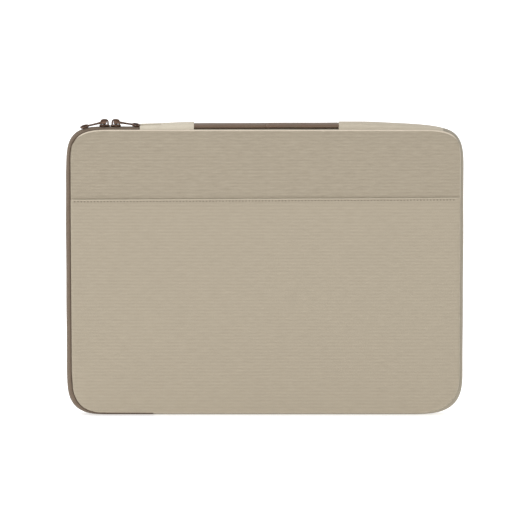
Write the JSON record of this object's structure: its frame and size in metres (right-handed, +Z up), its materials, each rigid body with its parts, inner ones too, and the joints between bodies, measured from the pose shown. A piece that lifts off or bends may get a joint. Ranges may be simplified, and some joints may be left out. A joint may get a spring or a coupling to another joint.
{
  "type": "laptop sleeve",
  "caption": "Padded side-opening laptop sleeve in beige canvas with a slip pocket, a top grab handle and a brown zip round one side.",
  "frame": {"origin": "centre of the bottom gusset's flat face, with the sleeve standing upright on it", "axes": "+X along the width towards the closed side, -Y out of the front with the slip pocket, +Z up towards the handle"},
  "size_m": [0.375, 0.028, 0.2815],
  "materials": {
    "canvas": "fine ribbed canvas",
    "foam": "closed-cell foam",
    "lining": "soft plush lining",
    "zip_tape": "woven brown tape",
    "zip_coil": "nylon coil",
    "strap": "brown smooth strap",
    "webbing": "dark brown webbing",
    "thread": "sewing thread",
    "metal": "dark bronze lacquer"
  },
  "bodies": {
    "body": {"back_panel": "canvas", "back_foam": "foam", "back_lining": "lining", "back_rolled_edge": "canvas", "front_panel": "canvas", "front_foam": "foam", "front_lining": "lining", "pocket_panel": "canvas", "pocket_stitches": "thread", "front_rolled_edge": "canvas", "gusset_top": "canvas", "gusset_bottom": "canvas", "gusset_right": "canvas", "gusset_lining": "lining", "gusset_cover_left": "canvas", "gusset_cover_right": "canvas", "zip_tape_back": "zip_tape", "zip_coil_back": "zip_coil", "zip_tab_top": "zip_tape", "zip_tab_bottom": "zip_tape", "handle_end_left": "strap", "handle_end_right": "strap"},
    "front_flap": {"front_panel_flap": "canvas", "front_foam_flap": "foam", "front_lining_flap": "lining", "pocket_panel_flap": "canvas", "pocket_stitches_flap": "thread", "front_rolled_edge_flap": "canvas", "zip_tape_front": "zip_tape", "zip_coil_front": "zip_coil"},
    "slider_left": {"slider_left_body": "metal", "slider_left_bridge": "metal"},
    "pull_left": {"pull_left": "metal"},
    "slider_right": {"slider_right_body": "metal", "slider_right_bridge": "metal"},
    "pull_right": {"pull_right": "metal"},
    "handle": {"handle_grip": "strap", "handle_run_left": "strap", "handle_run_right": "strap", "handle_lining": "webbing"}
  },
  "joints": [
    {"name": "flap_open", "type": "hinge", "parent": "body", "child": "front_flap", "pos_m": [-0.1175, -0.014, 0], "axis": [0, 0, 1], "range_deg": [0, 35]},
    {"name": "slider_left_corner", "type": "hinge", "parent": "body", "child": "slider_left", "pos_m": [-0.159, 0, 0.2455], "axis": [0, -1, 0], "range_deg": [0, 78]},
    {"name": "pull_left_lift", "type": "hinge", "parent": "slider_left", "child": "pull_left", "pos_m": [-0.1506, 0, 0.2786], "axis": [0, 1, 0], "range_deg": [0, 100]},
    {"name": "slider_right_run", "type": "slide", "parent": "body", "child": "slider_right", "axis": [1, 0, 0], "range_m": [0, 0.017]},
    {"name": "pull_right_lift", "type": "hinge", "parent": "slider_right", "child": "pull_right", "pos_m": [-0.14, 0, 0.2786], "axis": [0, -1, 0], "range_deg": [0, 100]},
    {"name": "handle_lift", "type": "slide", "parent": "body", "child": "handle", "axis": [0, 0, 1], "range_m": [0, 0.022], "deforming": ["handle_run_left", "handle_run_right"]}
  ]
}
